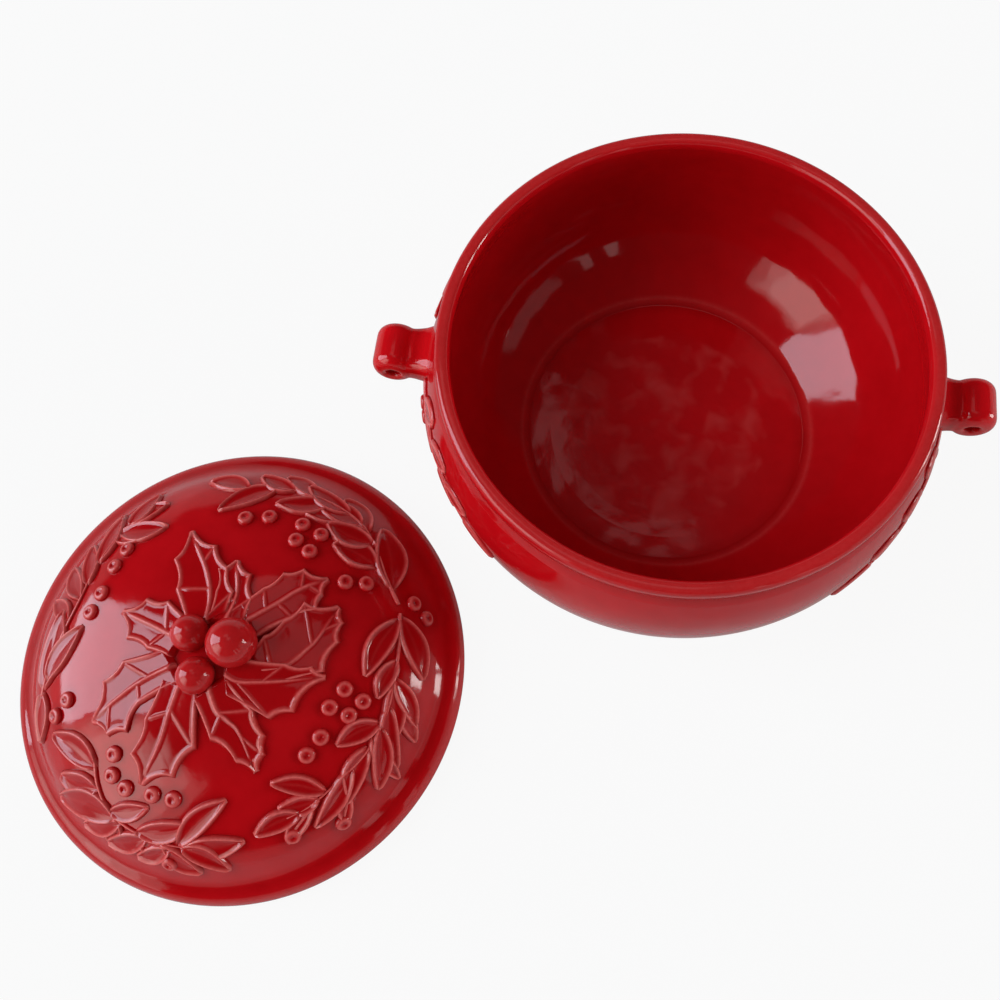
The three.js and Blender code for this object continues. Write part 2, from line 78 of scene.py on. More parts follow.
def glazeMaterial(name, paintedBrightness, thinShare, seed):
    made = bpy.data.materials.new(name)
    made.use_nodes = True
    tree = made.node_tree
    tree.nodes.clear()
    place = addNode(tree, "TexCoord", {}).outputs["Object"]
    shift = (seed, seed * 0.7, -seed)
    shifted = addNode(tree, "Mapping", {"Vector": place, "Location": shift}).outputs["Vector"]

    def noise(scale, detail, rough=0.5, bent=0.0):
        inputs = {"Vector": shifted, "Scale": scale, "Detail": detail, "Roughness": rough,
                  "Distortion": bent}
        return addNode(tree, "TexNoise", inputs).outputs["Fac"]

    def ranged(value, low, high, toLow, toHigh):
        inputs = {"Value": value, "From Min": low, "From Max": high, "To Min": toLow, "To Max": toHigh}
        return addNode(tree, "MapRange", inputs).outputs["Result"]

    def patchy(label, detail, low, high, rough=0.5):
        scale, *levels = glazeLook[label]
        return ranged(noise(scale, detail, rough), low, high, *levels)

    def mixed(factor, a, b):
        node = tree.nodes.new("ShaderNodeMix")
        node.data_type = "RGBA"
        tree.links.new(factor, node.inputs["Factor"])
        for value, socket in ((a, node.inputs["A"]), (b, node.inputs["B"])):
            if isinstance(value, tuple):
                socket.default_value = (*value, 1)
            else:
                tree.links.new(value, socket)
        return node.outputs["Result"]

    def painted(attribute):
        node = tree.nodes.new("ShaderNodeAttribute")
        node.attribute_name = attribute
        return node.outputs["Fac"]

    def bumped(height, depth, below=None):
        inputs = {"Height": height, "Strength": 1.0, "Distance": depth}
        if below is not None:
            inputs["Normal"] = below
        return addNode(tree, "Bump", inputs).outputs["Normal"]

    # colours scaled by paintedBrightness, which above 1 is painted light
    def tone(colour):
        return tuple(channel * paintedBrightness for channel in colour)

    # the glaze runs thicker and thinner over the body; it pools in the hollows, and painted shade darkens
    # the hollows, creases and holes as well
    uneven = computed(tree, "ADD", patchy("cloud", 3, 0.3, 0.7), patchy("mottle", 4, 0.35, 0.7, 0.6))
    pooledAndShaded = computed(tree, "ADD", uneven, painted("poolAndShade"))
    body = mixed(pooledAndShaded, tone(glazeLook["full"]), tone(glazeLook["deep"]))
    # raised edges are paler, broken up a little, and so is the pattern worn into the floor of the bowl
    drawn = computed(tree, "MULTIPLY", painted("thin"), patchy("broken", 3, 0.25, 0.75))
    scale, *levels = glazeLook["worn"]
    worn = computed(tree, "MULTIPLY", noise(scale, 1.6, bent=0.35), painted("pressed"))
    faded = computed(tree, "ADD", ranged(drawn, 0.0, 1.0, 0.0, thinShare), ranged(worn, 0.47, 0.75, *levels))
    colour = mixed(faded, body, glazeLook["thin"])
    dulled = ranged(painted("pressed"), 0.0, 1.0, 0.0, glazeLook["dulled"])
    rough = computed(tree, "ADD", patchy("rough", 3, 0.3, 0.7), dulled)
    # slow ripples from the brush and the kiln, a fine skin over them, and the worn pattern on top
    scale, depth = glazeLook["ripple"]
    slow = bumped(noise(scale, 1), depth)
    scale, depth = glazeLook["peel"]
    fine = bumped(noise(scale, 2), depth, slow)
    stamped = bumped(worn, glazeLook["stamp"], fine)
    inputs = {"Base Color": colour, "Roughness": rough, "IOR": 1.5, "Normal": stamped}
    shader = addNode(tree, "BsdfPrincipled", inputs)
    addNode(tree, "OutputMaterial", {"Surface": shader.outputs["BSDF"]})
    return made


bowlGlaze = glazeMaterial("bowlGlaze", 1.0, 0.5, 0.0)
lidGlaze = glazeMaterial("lidGlaze", 1.0, 0.5, 3.1)
# painted light: the handles carry the bowl's glaze made 1.25 times brighter, a lighter copy standing in for
# light on them
handleGlazePaintedLight = glazeMaterial("handleGlazePaintedLight", 1.25, 0.5, 5.7)
leafGlaze = glazeMaterial("leafGlaze", 1.0, 1.0, 8.3)
sprigGlaze = glazeMaterial("sprigGlaze", 1.0, 1.0, 11.9)
berryGlaze = glazeMaterial("berryGlaze", 1.0, 0.9, 14.2)
knobGlaze = glazeMaterial("knobGlaze", 1.0, 0.6, 17.5)
print("glazes mixed")


# mesh tools, all in mm until a piece is added

def addPiece(name, points, faces, material, body, stoodFor, thin, poolAndShade, pressed=None):
    mesh = bpy.data.meshes.new(name)
    mesh.from_pydata((np.asarray(points, float) * mm).tolist(), [], faces)
    for label, values in (("thin", thin), ("poolAndShade", poolAndShade), ("pressed", pressed)):
        layer = mesh.attributes.new(label, "FLOAT", "POINT")
        if values is not None:
            layer.data.foreach_set("value", np.asarray(values, np.float32))
    mesh.shade_smooth()
    mesh.materials.append(material)
    piece = bpy.data.objects.new(name, mesh)
    bpy.context.scene.collection.objects.link(piece)
    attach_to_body(piece, body)
    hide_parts(*stoodFor)


def arc(cx, cz, rx, rz, start, end, steps):
    a = np.radians(np.linspace(start, end, steps + 1))
    return [(cx + rx * math.cos(t), cz + rz * math.sin(t)) for t in a]


# a swept line from a to d that leaves towards b and arrives from c
def swept(a, b, c, d, steps):
    a, b, c, d = (np.array(p, float) for p in (a, b, c, d))
    made = []
    for t in np.linspace(0, 1, steps + 1):
        s = 1 - t
        made.append(tuple(s ** 3 * a + 3 * t * s ** 2 * b + 3 * t * t * s * c + t ** 3 * d))
    return made


# a line of points with some corners turned on a radius: entries are (r, z) or (r, z, radius)
def eased(line, steps=6):
    made = [line[0][:2]]
    for i in range(1, len(line) - 1):
        here = np.array(line[i][:2], float)
        radius = line[i][2] if len(line[i]) > 2 else 0
        if not radius:
            made.append(tuple(here))
            continue
        a = np.array(line[i - 1][:2], float) - here
        b = np.array(line[i + 1][:2], float) - here
        la, lb = np.linalg.norm(a), np.linalg.norm(b)
        a, b = a / la, b / lb
        half = math.acos(max(-1, min(1, float(a @ b)))) / 2
        reach = min(radius / math.tan(half), 0.48 * la, 0.48 * lb)
        turn = reach * math.tan(half)
        middle = here + (a + b) / np.linalg.norm(a + b) * (turn / math.sin(half))
        start, end = here + a * reach - middle, here + b * reach - middle
        sweep = math.atan2(start[0] * end[1] - start[1] * end[0], float(start @ end))
        for k in range(steps + 1):
            t = sweep * k / steps
            made.append((middle[0] + start[0] * math.cos(t) - start[1] * math.sin(t),
                         middle[1] + start[0] * math.sin(t) + start[1] * math.cos(t)))
    made.append(line[-1][:2])
    return made


# a line resampled evenly and smoothed between its ends, so that reflections run over it without a break
def faired(line, spacing=0.7, passes=160):
    line = np.array(line, float)
    gone = np.concatenate([[0], np.cumsum(np.linalg.norm(np.diff(line, axis=0), axis=1))])
    count = int(gone[-1] / spacing)
    places = np.linspace(0, gone[-1], count)
    made = np.stack([np.interp(places, gone, line[:, k]) for k in range(2)], -1)
    for k in range(passes):
        made[1:-1] += 0.25 * (made[:-2] - 2 * made[1:-1] + made[2:])
    return [tuple(p) for p in made]


# a profile turned about an upright axis, closed by a point at each end
def turned(profile, rounds):
    inner = [p for p in profile if p[0] > 1e-6]
    a = np.arange(rounds) * 2 * math.pi / rounds
    points = [(0, 0, profile[0][1])]
    for r, z in inner:
        points.extend(zip(r * np.cos(a), r * np.sin(a), [z] * rounds))
    points.append((0, 0, profile[-1][1]))
    faces = []
    last = len(points) - 1
    for k in range(rounds):
        n = (k + 1) % rounds
        faces.append((0, 1 + n, 1 + k))
        faces.append((last, last - rounds + k, last - rounds + n))
    for i in range(len(inner) - 1):
        low, high = 1 + i * rounds, 1 + (i + 1) * rounds
        for k in range(rounds):
            n = (k + 1) % rounds
            faces.append((low + k, low + n, high + n, high + k))
    return np.array(points), faces


# rings of equal size joined in order, with one face over each end
def lofted(rings):
    count, size = len(rings), len(rings[0])
    points = np.concatenate(rings)
    faces = []
    for i in range(count - 1):
        for k in range(size):
            n = (k + 1) % size
            faces.append((i * size + k, i * size + n, (i + 1) * size + n, (i + 1) * size + k))
    last = (count - 1) * size
    faces.append(tuple(range(size - 1, -1, -1)))
    faces.append(tuple(range(last, last + size)))
    return points, faces


# turns faces so that a closed body looks outwards
def outward(points, faces):
    volume = 0.0
    for f in faces:
        a = points[f[0]]
        for i in range(1, len(f) - 1):
            volume += float(a @ np.cross(points[f[i]], points[f[i + 1]]))
    return faces if volume > 0 else [tuple(reversed(f)) for f in faces]


# several closed bodies in one mesh, each with its paint
class Gathered:
    def __init__(self):
        self.points, self.faces, self.thin, self.poolAndShade = [], [], [], []
        self.count = 0

    def add(self, points, faces, thin, poolAndShade):
        points = np.asarray(points, float)
        self.faces.extend(tuple(i + self.count for i in f) for f in outward(points, faces))
        self.points.append(points)
        self.thin.append(np.asarray(thin, float))
        self.poolAndShade.append(np.asarray(poolAndShade, float))
        self.count += len(points)

    def piece(self, name, material, body, slot, stoodFor):
        points = np.concatenate(self.points)
        if body == "lid":
            points = points + np.array(lid["centre"])
        addPiece(name, points, self.faces, material, body, stoodFor,
                 np.concatenate(self.thin), np.concatenate(self.poolAndShade))


# the bowl: radii and heights in mm from the middle of its foot
bowl = {
    "rim": 80.0, "tall": 76.0, "crease": (78.8, 69.0), "widest": (86.6, 43.5), "fullness": 1.55,
    "lip": 5.0, "lipTall": 3.1, "lipSquare": 2.5, "lipSteps": 28, "collar": 1.1,
    "wall": 5.0, "foot": 50.0, "footTall": 3.0, "footRing": 6.0,
    "floor": 8.0, "well": 54.0, "wellStep": 1.2, "wellSlope": 27.0, "wellEdge": 0.8, "sweep": (18.0, 16.0),
    "pressed": 44.0, "pressedFade": 6.0, "rounds": 240,
}


def shoulderCurve(widest, r, top):
    level = bowl["widest"][1]
    rx = bowl["fullness"] * (widest - r)
    end = math.acos(1 - 1 / bowl["fullness"])
    return widest - rx, rx, (top - level) / math.sin(end), math.degrees(end)


def bellyAt(z):
    wide, level = bowl["widest"]
    if z >= level:
        cx, rx, rz = shoulderCurve(wide, *bowl["crease"])[:3]
        s = min(1, (z - level) / rz)
        return cx + rx * math.sqrt(1 - s * s)
    s = min(1, (level - z) / (level - bowl["footTall"]))
    return bowl["foot"] + (wide - bowl["foot"]) * math.sqrt(1 - s * s)


def bowlProfile():
    wide, level = bowl["widest"]
    creaseR, creaseZ = bowl["crease"]
    rim, tall, lip = bowl["rim"], bowl["tall"], bowl["lip"]
    mouth = rim - lip
    foot, footTall, ring = bowl["foot"], bowl["footTall"], bowl["footRing"]
    cx, rx, rz, end = shoulderCurve(wide, creaseR, creaseZ)
    base = eased([(0, footTall), (foot - ring, footTall, 1.0), (foot - ring, 0, 0.8), (foot, 0, 1.0),
                  (foot, footTall + 0.1, 0.9), (foot + 4, footTall + 0.2)])[:-1]
    under = arc(foot, level, wide - foot, level - footTall, -84, 0, 46)
    over = arc(cx, level, rx, rz, 0, end, 34)[1:]
    # a short upright collar under a lip that is flat on top and tight on its outer corner
    edge = []
    half, high, power = lip / 2, bowl["lipTall"], 2 / bowl["lipSquare"]
    for k in range(bowl["lipSteps"] + 1):
        a = math.radians(-10 + 190 * k / bowl["lipSteps"])
        c, s = math.cos(a), math.sin(a)
        edge.append((rim - half + half * math.copysign(abs(c) ** power, c),
                     tall - high + high * math.copysign(abs(s) ** power, s)))
    # the shoulder stops a few points short of the crease and the collar takes over
    meet = -6
    collarTop = (rim - 0.1, creaseZ + bowl["collar"], 0.6)
    collar = eased([over[meet], (creaseR, creaseZ, 0.5), collarTop, edge[0]])[1:-1]
    innerWide = wide - bowl["wall"]
    ix, irx, irz, iend = shoulderCurve(innerWide, mouth, creaseZ)
    floor, well = bowl["floor"], bowl["well"]
    wellTop, wellOut = floor + bowl["wellStep"], well + bowl["wellEdge"]
    neck = arc(ix, level, irx, irz, iend, 0, 30)
    # below the belly the wall sweeps in and meets the well at a slope
    slope = math.radians(bowl["wellSlope"])
    upper, lower = bowl["sweep"]
    inside = swept((innerWide, level), (innerWide, level - upper),
                   (wellOut + lower * math.cos(slope), wellTop + lower * math.sin(slope)),
                   (wellOut, wellTop), 44)[1:]
    wallLine = faired([edge[-1], (mouth, creaseZ + 0.5)] + neck + inside)[1:]
    step = eased([wallLine[-1], (well, wellTop - 0.3, 1.4), (well - 2.0, floor, 1.7), (well - 6, floor)])[1:]
    flat = [(r, floor) for r in np.linspace(well - 8, 3, 22)] + [(0, floor)]
    belly = faired(under + over[:meet], 0.9, 60)
    return base + belly + collar + edge + wallLine + step + flat


# painted shade and glaze pooling darken the crease under the lip and the corner of the well, and the glaze
# thins on the lip and the well's edge
def buildBowl():
    points, faces = turned(bowlProfile(), bowl["rounds"])
    r, z = np.hypot(points[:, 0], points[:, 1]), points[:, 2]
    creaseR, creaseZ = bowl["crease"]
    floor, well = bowl["floor"], bowl["well"]
    inside = (r < well + 3) & (z > floor - 0.5) & (z < floor + 6)
    # painted shade and glaze pooling: darker in the crease below the collar and in the corner of the well
    poolAndShade = 0.6 * np.exp(-((r - creaseR) ** 2 + (z - creaseZ) ** 2) / 1.2)
    poolAndShade += np.where(inside, 0.5 * np.exp(-((r - well + 1.5) / 1.2) ** 2), 0)
    thin = 0.25 * np.exp(-((z - bowl["tall"]) / 0.6) ** 2) * (r > bowl["rim"] - 2 * bowl["lip"])
    thin += 0.3 * np.exp(-((r - well - bowl["wellEdge"]) / 0.8) ** 2) * inside
    pressed = np.where(inside, np.clip((bowl["pressed"] - r) / bowl["pressedFade"], 0, 1), 0)
    addPiece("bowlShell", points, outward(points, faces), bowlGlaze, "bowl", ["bowl_body"],
             thin, poolAndShade, pressed)


buildBowl()
print("bowl turned")


# rolled handles: a roll with a hole and rounded ends, on a neck of rings (how far out, width, height)
handle = {
    "level": 50.5, "middle": 97.1, "roll": 7.5, "hole": 2.1, "width": 17.2, "ends": 4.0, "lipRound": 1.6,
    "neck": (
        (82.2, 21.0, 17.0), (84.6, 19.0, 14.2), (87.0, 17.6, 12.2), (90.0, 16.6, 11.2), (94.6, 16.0, 10.6),
    ),
    "neckSquare": 0.55, "rounds": 72, "neckRounds": 48, "voxel": 0.33, "smooth": 20,
}


def rollBody():
    half, roll, hole = handle["width"] / 2, handle["roll"], handle["hole"]
    ends, lip = handle["ends"], handle["lipRound"]
    section = arc(half - ends, roll - ends, ends, ends, 0, 90, 8)
    section += arc(-(half - ends), roll - ends, ends, ends, 90, 180, 8)
    section += arc(-(half - lip), hole + lip, lip, lip, 180, 270, 5)
    section += arc(half - lip, hole + lip, lip, lip, 270, 360, 5)
    points, faces = [], []
    size, rounds = len(section), handle["rounds"]
    for k in range(rounds):
        a = 2 * math.pi * k / rounds
        for y, r in section:
            points.append((handle["middle"] + r * math.cos(a), y, handle["level"] + r * math.sin(a)))
        n = (k + 1) % rounds
        for i in range(size):
            j = (i + 1) % size
            faces.append((k * size + i, k * size + j, n * size + j, n * size + i))
    return np.array(points), faces


def neckBody():
    rings = []
    around, power = handle["neckRounds"], handle["neckSquare"]
    for x, wide, tall in handle["neck"]:
        ring = []
        for k in range(around):
            a = 2 * math.pi * k / around
            c, s = math.cos(a), math.sin(a)
            ring.append((x, wide / 2 * math.copysign(abs(c) ** power, c),
                         handle["level"] + tall / 2 * math.copysign(abs(s) ** power, s)))
        rings.append(np.array(ring))
    return lofted(rings)


# bodies that run into one another made one skin, its seams smoothed
def fused(name, bodies, voxel, smooth):
    gathered = Gathered()
    for points, faces in bodies:
        gathered.add(points, faces, np.zeros(len(points)), np.zeros(len(points)))
    mesh = bpy.data.meshes.new(name)
    mesh.from_pydata((np.concatenate(gathered.points) * mm).tolist(), [], gathered.faces)
    rough = bpy.data.objects.new(name, mesh)
    bpy.context.scene.collection.objects.link(rough)
    remesh = rough.modifiers.new("remesh", "REMESH")
    remesh.mode = "VOXEL"
    remesh.voxel_size = voxel * mm
    soften = rough.modifiers.new("soften", "SMOOTH")
    soften.factor = 0.5
    soften.iterations = smooth
    seen = rough.evaluated_get(bpy.context.evaluated_depsgraph_get())
    result = seen.to_mesh()
    points = np.array([v.co for v in result.vertices]) / mm
    faces = [tuple(p.vertices) for p in result.polygons]
    seen.to_mesh_clear()
    bpy.data.objects.remove(rough)
    bpy.data.meshes.remove(mesh)
    return points, faces


def buildHandles():
    points, faces = fused("handleRough", [rollBody(), neckBody()], handle["voxel"], handle["smooth"])
    x, y, z = points[:, 0] - handle["middle"], points[:, 1], points[:, 2] - handle["level"]
    away = np.hypot(x, z)
    thin = 0.7 * np.exp(-((np.abs(y) - handle["width"] / 2 + 0.4) / 0.7) ** 2)
    thin *= np.exp(-((away - handle["hole"] - 1.4) / 0.9) ** 2)
    # painted shade and glaze pooling: darker where the roll meets the neck and inside the hole
    poolAndShade = 0.5 * np.exp(-((x + handle["roll"]) / 1.5) ** 2) + 0.7 * (away < handle["hole"] + 0.3)
    for name, node, turn in (("handleRight", "handle_right", 1), ("handleLeft", "handle_left", -1)):
        placed = points * np.array([turn, turn, 1])
        addPiece(name, placed, outward(placed, faces), handleGlazePaintedLight, "bowl", [node], thin, poolAndShade)


buildHandles()
print("handles rolled")


# the lid, which lies on its flange; the flare ends at a radius, height and slope
lidAway = 179.4
lidBearing = math.radians(217)
lid = {
    "centre": (lidAway * math.cos(lidBearing), lidAway * math.sin(lidBearing), 0.0),
    "rim": 80.0, "edge": 7.0, "edgeFull": 0.62, "dome": 72.5, "domeTall": 27.0, "wall": 5.0,
    "brim": 11.0, "flangeTall": 6.0, "flangeOut": 73.8, "flangeIn": 69.8,
    "power": 2.4, "rounding": 0.62, "flareStart": 66.0, "flareEnd": (74.6, 12.0, -0.26), "rounds": 256,
}


def domeCurve(r, radius, tall):
    t = np.minimum(1, np.asarray(r, float) / radius)
    return tall * (1 - t ** lid["power"]) ** lid["rounding"]


# the dome, flaring out into the cove behind the rolled edge
def domeAt(r):
    r = np.asarray(r, float)
    start = lid["flareStart"]
    end, low, leave = lid["flareEnd"]
    top = lid["brim"] + domeCurve(np.array([start - 0.1, start]), lid["dome"], lid["domeTall"])
    enter = (top[1] - top[0]) / 0.1
    t = np.clip((r - start) / (end - start), 0, 1)
    span = end - start
    flare = ((2 * t ** 3 - 3 * t ** 2 + 1) * top[1] + (t ** 3 - 2 * t ** 2 + t) * span * enter
             + (3 * t ** 2 - 2 * t ** 3) * low + (t ** 3 - t ** 2) * span * leave)
    return np.where(r < start, lid["brim"] + domeCurve(r, lid["dome"], lid["domeTall"]), flare)


def lidProfile():
    crown = lid["brim"] + lid["domeTall"] - lid["wall"]
    rim, low, inside, outside = lid["rim"], lid["flangeTall"], lid["flangeIn"], lid["flangeOut"]
    inner = [(0, crown)]
    for share in np.sin(np.radians(np.linspace(4, 88, 34))):
        inner.append((inside * share, float(domeCurve(inside * share, inside, crown))))
    skirt = eased([inner[-1], (inside, 0.6, 0.5), (inside + 0.8, 0, 0.6), (outside, 0, 1.2),
                   (outside, low, 0.5), (rim - 0.9, low, 0.8), (rim, lid["edge"])])[1:-1]
    # the cove runs over into the rolled edge, which drops to the seat
    foot, high, leave = lid["flareEnd"]
    full = lid["edgeFull"]
    reach = full * (rim - foot)
    edge = swept((foot, high), (foot + reach, high + reach * leave),
                 (rim, lid["edge"] + full * (high - lid["edge"])), (rim, lid["edge"]), 25)
    outer = []
    for r in np.concatenate([np.arange(foot - 0.5, 60, -0.5), np.arange(60, 1.0, -0.9)]):
        outer.append((r, float(domeAt(r))))
    # the edge and the steep part of the dome are one line
    steep = 40
    outer = faired(edge[::-1] + outer[:steep], 0.5, 30) + outer[steep:]
    outer.append((0, lid["brim"] + lid["domeTall"]))
    return inner + skirt + outer


# places on a drawing, in mm, carried onto the dome with a height above it
def onDome(u, v, h):
    u, v = np.asarray(u, float), np.asarray(v, float)
    r = np.maximum(np.hypot(u, v), 0.05)
    slope = np.maximum((domeAt(r + 0.05) - domeAt(r - 0.05)) / 0.1, -6.0)
    lean = np.hypot(1, slope)
    x, y = u - slope * u / r * h / lean, v - slope * v / r * h / lean
    return np.stack([x, y, domeAt(r) + h / lean], -1)


# places on the belly: u round from a handle, v up from the widest line
def onBelly(handleAngle, direction):
    wide, level = bowl["widest"]
    heights = np.linspace(bowl["footTall"] + 1, bowl["crease"][1], 600)
    radii = np.array([bellyAt(z) for z in heights])
    slopes = np.gradient(radii, heights)

    def carried(u, v, h):
        u, v = np.asarray(u, float), np.asarray(v, float)
        z = level + v
        slope = np.interp(z, heights, slopes)
        lean = np.hypot(1, slope)
        r = np.interp(z, heights, radii) + h / lean
        angle = handleAngle + direction * u / wide
        return np.stack([r * np.cos(angle), r * np.sin(angle), z - slope * h / lean], -1)

    return carried


# relief: heights and widths in mm of the parts of a leaf, a low mound round the knob, and the grid
hollyRelief = {
    "floor": 0.85, "rim": 1.28, "rib": 1.4, "vein": 1.12, "rimWide": 0.75, "ribWide": 0.75, "veinWide": 0.6,
    "sunk": 0.5, "skirt": 1.5, "dish": 0.3, "ribPale": 0.9, "rimFade": 0.22, "mound": (2.4, 13.5),
    "scoop": 0.22, "foot": 6.0, "cup": 0.25, "along": 120, "across": 26,
}
lanceRelief = {
    "floor": 0.62, "rim": 1.08, "rib": 0.72, "rimWide": 0.62, "ribWide": 0.55,
    "sunk": 0.5, "skirt": 1.1, "dish": 0.6, "ribPale": 0.15, "rimFade": 0.1, "along": 56, "across": 14,
}
bellyRelief = {
    "floor": 0.4, "rim": 0.62, "rib": 0.65, "rimWide": 0.7, "ribWide": 0.6,
    "sunk": 0.6, "skirt": 2.2, "dish": 0.3, "ribPale": 0.4, "rimFade": 0.1, "along": 48, "across": 12,
}


def scaled(line, unit):
    return [(u * unit, v * unit) for u, v in line]


# a smooth line through a few places
def smoothLine(line, count):
    line = np.array(line, float)
    if len(line) == 2:
        t = np.linspace(0, 1, count)[:, None]
        return line[0] + (line[1] - line[0]) * t
    padded = np.vstack([2 * line[0] - line[1], line, 2 * line[-1] - line[-2]])
    steps = np.linspace(0, len(line) - 1, count)
    made = []
    for s in steps:
        i = min(int(s), len(line) - 2)
        t = s - i
        p0, p1, p2, p3 = padded[i:i + 4]
        made.append(0.5 * (2 * p1 + (p2 - p0) * t + (2 * p0 - 5 * p1 + 4 * p2 - p3) * t * t
                           + (3 * p1 - p0 - 3 * p2 + p3) * t ** 3))
    return np.array(made)


# one side of a holly leaf: spines from foot to tip, with the margin scooped in between them
def spinySide(rib, spines, side):
    along, foot, tip = len(rib), rib[0], rib[-1]
    axis = (tip - foot) / np.linalg.norm(tip - foot)
    normal = np.array([-axis[1], axis[0]]) * side
    anchors = [np.array(spine, float) for spine in spines]
    anchors = [foot + normal * hollyRelief["foot"]] + anchors + [tip + normal * 0.12]
    spans = [np.linalg.norm(b - a) for a, b in zip(anchors, anchors[1:])]
    places = np.concatenate([[0], np.cumsum(spans)]) / sum(spans)
    length = np.linalg.norm(tip - foot)
    ribAt = [0.0]
    for spine in anchors[1:-1]:
        forward, out = (spine - foot) @ axis, abs((spine - foot) @ normal)
        ribAt.append((forward - 0.55 * out) / length)
    ribAt.append(1.0)
    for i in range(1, len(ribAt) - 1):
        ribAt[i] = min(max(ribAt[i], ribAt[i - 1] + 0.06), 1 - 0.07 * (len(ribAt) - 1 - i))
    us = np.linspace(0, 1, along)
    edge, attach = np.zeros((along, 2)), np.zeros(along)
    for n, u in enumerate(us):
        i = min(int(np.searchsorted(places, u, side="right")) - 1, len(spans) - 1)
        t = (u - places[i]) / (places[i + 1] - places[i])
        a, b = anchors[i], anchors[i + 1]
        chord = b - a
        inward = np.array([-chord[1], chord[0]])
        inward = inward / (np.linalg.norm(inward) + 1e-9)
        if inward @ normal > 0:
            inward = -inward
        deep = hollyRelief["scoop"] * np.linalg.norm(chord) * (0.35 if i == 0 else 1)
        control = (a + b) / 2 + inward * deep + axis * (-0.10) * np.linalg.norm(chord)
        edge[n] = (1 - t) ** 2 * a + 2 * t * (1 - t) * control + t * t * b
        attach[n] = ribAt[i] + (ribAt[i + 1] - ribAt[i]) * t
    return us, edge, attach, places[1:-1]


# the two sides of a lance leaf
def lanceSides(rib, halfWide):
    us = np.linspace(0, 1, len(rib))
    tangent = np.gradient(rib, axis=0)
    tangent /= np.linalg.norm(tangent, axis=1)[:, None]
    normal = np.stack([-tangent[:, 1], tangent[:, 0]], -1)
    share = np.maximum(np.sin(math.pi * us ** 0.88) ** 0.85, 0.05)
    return [(us, rib + normal * side * (halfWide * share)[:, None], us, []) for side in (1, -1)]


# how far each point lies inside an outline, zero outside it
def depthInside(points, outline):
    a, b = outline, np.roll(outline, -1, axis=0)
    x, y = points[:, :1], points[:, 1:2]
    crosses = (a[:, 1] > y) != (b[:, 1] > y)
    rise = np.where(a[:, 1] == b[:, 1], 1e-9, b[:, 1] - a[:, 1])
    meets = a[:, 0] + (y - a[:, 1]) * (b[:, 0] - a[:, 0]) / rise
    inside = np.sum(crosses & (x < meets), axis=1) % 2 == 1
    away = np.min(np.hypot(x - a[:, 0], y - a[:, 1]), axis=1)
    return np.where(inside, away, 0)


# finds the nearest of some places on a drawing
def nearTree(places):
    tree = KDTree(len(places))
    for i, (u, v) in enumerate(places):
        tree.insert((u, v, 0), i)
    tree.balance()
    return tree


# one half of a leaf as a grid from its midrib to its margin
def leafHalf(rib, side, relief, lift, cup):
    us, edge, attach, spines = side
    ts = np.linspace(0, 1, relief["across"] + 1) ** 0.9
    ribAt = np.linspace(0, 1, len(rib))
    root = np.stack([np.interp(attach, ribAt, rib[:, k]) for k in range(2)], -1)
    grid = root[:, None, :] + (edge - root)[:, None, :] * ts[None, :, None]
    fromRib = np.linalg.norm(edge - root, axis=1)[:, None] * ts[None, :]
    # the margin folds in sharply at each spine
    tree = nearTree(edge)
    fromEdge = np.array([[tree.find((u, v, 0))[2] for u, v in row] for row in grid])
    rim = np.exp(-(fromEdge / relief["rimWide"]) ** 2) * np.clip(us / relief["rimFade"], 0.1, 1)[:, None]
    # the midrib dies away towards the tip
    fade = np.clip((1.0 - attach) / 0.25, 0.25, 1)[:, None]
    ribbed = np.exp(-(fromRib / relief["ribWide"]) ** 2) * fade
    floor = relief["floor"]
    crest = np.maximum((relief["rim"] - floor) * rim, (relief["rib"] - floor) * ribbed)
    pale = np.maximum(rim, relief["ribPale"] * ribbed)
    # a vein runs out to every other spine
    for place in spines[::2]:
        k = int(np.argmin(np.abs(us - place)))
        offset = np.linalg.norm(grid - grid[k][None], axis=2)
        strength = 0.55 + 0.45 * np.clip((1.02 - ts) / 0.3, 0, 1)[None, :]
        vein = np.exp(-(offset / relief["veinWide"]) ** 2) * strength
        crest = np.maximum(crest, (relief["vein"] - floor) * vein)
        pale = np.maximum(pale, 0.6 * vein)
    high = floor + cup * (fromEdge / (fromEdge + 3.0) - 0.4) + relief["dish"] * (ts[None, :] - 0.6)
    if "mound" in relief:
        tall, wide = relief["mound"]
        high = high + tall * np.exp(-(np.hypot(grid[..., 0], grid[..., 1]) / wide) ** 2)
    ends = np.clip(np.minimum(us, 1 - us) / 0.07, 0, 1)[:, None]
    high = (high + crest + lift) * (0.3 + 0.7 * ends)
    return {"grid": grid, "high": high, "thin": pale ** 1.4, "edge": edge, "root": root}


# one row of that grid and down its outer slope: place, height, thin, and glaze pooling with painted shade
def bladeRow(half, i, skirt):
    high, thin = half["high"][i], half["thin"][i]
    # painted shade and glaze pooling: darker over the blade away from its pale ridges, and on the outer
    # slope
    row = [(*place, h, t, 0.45 * (1 - t)) for place, h, t in zip(half["grid"][i], high, thin)]
    outwards = half["edge"][i] - half["root"][i]
    outwards = outwards / (np.linalg.norm(outwards) + 1e-9) * skirt
    for out, h, t in ((0.25, 0.8 * high[-1], 0.7), (0.55, 0.36 * high[-1], 0.2), (1.0, -0.3, 0.0)):
        row.append((*(half["edge"][i] + outwards * out), h, t, 0.3))
    return row


